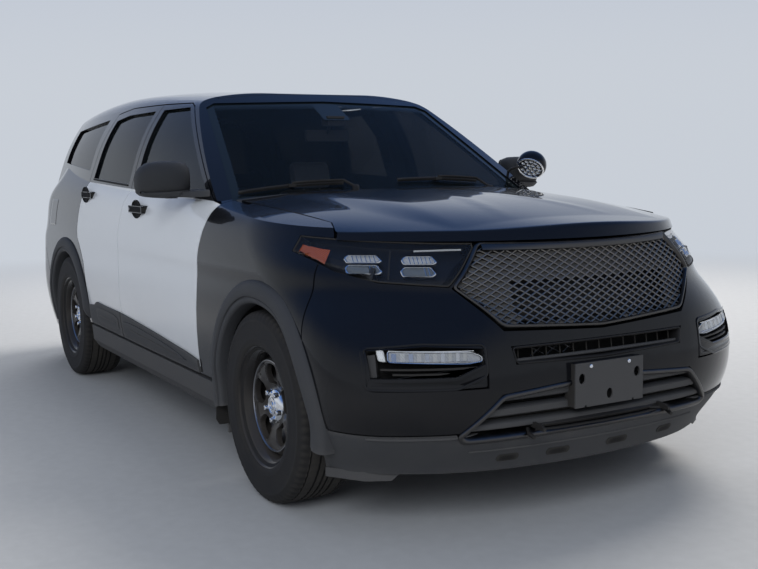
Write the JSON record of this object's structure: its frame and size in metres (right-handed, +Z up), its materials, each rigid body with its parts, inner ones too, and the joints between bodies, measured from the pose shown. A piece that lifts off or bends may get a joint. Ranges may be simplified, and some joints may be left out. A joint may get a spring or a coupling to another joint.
{
  "type": "police sport utility vehicle",
  "caption": "Full-size police SUV with white doors on a black body, steel wheels, spotlight, opening doors, bonnet and tailgate, steering and turning wheels.",
  "frame": {"origin": "on the ground under the middle of the body's length and width", "axes": "+X forward to the nose, +Y to the vehicle's left, +Z up"},
  "size_m": [5.0721, 2.27, 1.765],
  "materials": {
    "black_paint": "deep black gloss paint",
    "white_paint": "white gloss paint over black lower mouldings",
    "tinted_glass": "tinted safety glass",
    "lamp_lens": "clear moulded lens over dark reflectors",
    "red_lens": "red moulded lens",
    "textured_plastic": "grained dark grey plastic",
    "seat_fabric": "dark woven seat cloth",
    "lamp_shell": "black shell with a bright rim",
    "steel": "coated sheet steel",
    "castings": "rough castings",
    "wheel_paint": "black painted steel wheel",
    "tyre": "black tyre rubber"
  },
  "bodies": {
    "shell": {"arch_flares": "textured_plastic", "body_side_left": "black_paint", "body_side_right": "black_paint", "crossbar": "wheel_paint", "dashboard": "textured_plastic", "engine_block": "castings", "exhaust": "steel", "floor_pan": "steel", "front_bumper": "black_paint", "front_fenders": "black_paint", "front_subframe": "steel", "front_valance": "textured_plastic", "grille": "textured_plastic", "headlamps": "lamp_lens", "load_panel": "steel", "lower_intake": "textured_plastic", "plate_bracket": "textured_plastic", "quarter_glass": "tinted_glass", "radiator": "castings", "rear_bumper": "black_paint", "rear_subframe": "steel", "roof_panel": "black_paint", "running_lamps": "lamp_lens", "seats": "seat_fabric", "sill_cladding": "textured_plastic", "tail_lamps": "red_lens", "wheel_wells": "textured_plastic", "windscreen": "tinted_glass"},
    "bonnet": {"bonnet": "black_paint"},
    "tailgate": {"tailgate": "black_paint", "tailgate_glass": "tinted_glass"},
    "fuel_flap": {"fuel_flap": "black_paint"},
    "steering_wheel": {"steering_wheel": "textured_plastic"},
    "spotlight": {"spotlight": "lamp_shell"},
    "front_door_left": {"front_door_left": "white_paint", "front_door_glass_left": "tinted_glass", "mirror_left": "textured_plastic"},
    "rear_door_left": {"rear_door_left": "white_paint", "rear_door_glass_left": "tinted_glass"},
    "front_knuckle_left": {"front_knuckle_left": "castings"},
    "front_door_right": {"front_door_right": "white_paint", "front_door_glass_right": "tinted_glass", "mirror_right": "textured_plastic"},
    "rear_door_right": {"rear_door_right": "white_paint", "rear_door_glass_right": "tinted_glass"},
    "front_knuckle_right": {"front_knuckle_right": "castings"},
    "wheel_front_left": {"rim_front_left": "wheel_paint", "tyre_front_left": "tyre"},
    "wheel_front_right": {"rim_front_right": "wheel_paint", "tyre_front_right": "tyre"},
    "wheel_rear_left": {"rim_rear_left": "wheel_paint", "tyre_rear_left": "tyre"},
    "wheel_rear_right": {"rim_rear_right": "wheel_paint", "tyre_rear_right": "tyre"}
  },
  "joints": [
    {"name": "bonnet_hinge", "type": "hinge", "parent": "shell", "child": "bonnet", "pos_m": [1.03, 0, 1.174], "axis": [0, -1, 0], "range_deg": [0, 50]},
    {"name": "tailgate_hinge", "type": "hinge", "parent": "shell", "child": "tailgate", "pos_m": [-2.11, 0, 1.708], "axis": [0, 1, 0], "range_deg": [0, 80]},
    {"name": "fuel_flap_hinge", "type": "hinge", "parent": "shell", "child": "fuel_flap", "pos_m": [-1.683, 0.992, 1.03], "axis": [0, 0, -1], "range_deg": [0, 80]},
    {"name": "front_door_left_hinge", "type": "hinge", "parent": "shell", "child": "front_door_left", "pos_m": [0.94, 0.99, 0.8], "axis": [0, 0, -1], "range_deg": [0, 65]},
    {"name": "rear_door_left_hinge", "type": "hinge", "parent": "shell", "child": "rear_door_left", "pos_m": [-0.248, 0.99, 0.8], "axis": [0, 0, -1], "range_deg": [0, 68]},
    {"name": "front_door_right_hinge", "type": "hinge", "parent": "shell", "child": "front_door_right", "pos_m": [0.94, -0.99, 0.8], "axis": [0, 0, 1], "range_deg": [0, 65]},
    {"name": "rear_door_right_hinge", "type": "hinge", "parent": "shell", "child": "rear_door_right", "pos_m": [-0.248, -0.99, 0.8], "axis": [0, 0, 1], "range_deg": [0, 68]},
    {"name": "steer_left", "type": "hinge", "parent": "shell", "child": "front_knuckle_left", "pos_m": [1.63, 0.8, 0.3815], "axis": [0, 0, 1], "range_deg": [-34, 34]},
    {"name": "steer_right", "type": "hinge", "parent": "shell", "child": "front_knuckle_right", "pos_m": [1.63, -0.8, 0.3815], "axis": [0, 0, 1], "range_deg": [-34, 34]},
    {"name": "front_wheel_left_spin", "type": "hinge", "parent": "front_knuckle_left", "child": "wheel_front_left", "pos_m": [1.63, 0.8495, 0.3815], "axis": [0, 1, 0], "continuous": true},
    {"name": "rear_wheel_left_spin", "type": "hinge", "parent": "shell", "child": "wheel_rear_left", "pos_m": [-1.395, 0.8495, 0.3815], "axis": [0, 1, 0], "continuous": true},
    {"name": "front_wheel_right_spin", "type": "hinge", "parent": "front_knuckle_right", "child": "wheel_front_right", "pos_m": [1.63, -0.8495, 0.3815], "axis": [0, 1, 0], "continuous": true},
    {"name": "rear_wheel_right_spin", "type": "hinge", "parent": "shell", "child": "wheel_rear_right", "pos_m": [-1.395, -0.8495, 0.3815], "axis": [0, 1, 0], "continuous": true},
    {"name": "steering_wheel_turn", "type": "hinge", "parent": "shell", "child": "steering_wheel", "pos_m": [0.43, 0.38, 0.96], "axis": [-0.9063, 0, 0.4226], "range_deg": [-480, 480]},
    {"name": "spotlight_turn", "type": "hinge", "parent": "shell", "child": "spotlight", "pos_m": [0.877, 0.95, 1.291], "axis": [0, 1, 0], "range_deg": [-60, 60]}
  ],
  "couplings": [
    {"joint": "steer_right", "follows": "steer_left", "ratio": 1},
    {"joint": "steering_wheel_turn", "follows": "steer_left", "ratio": 14}
  ]
}
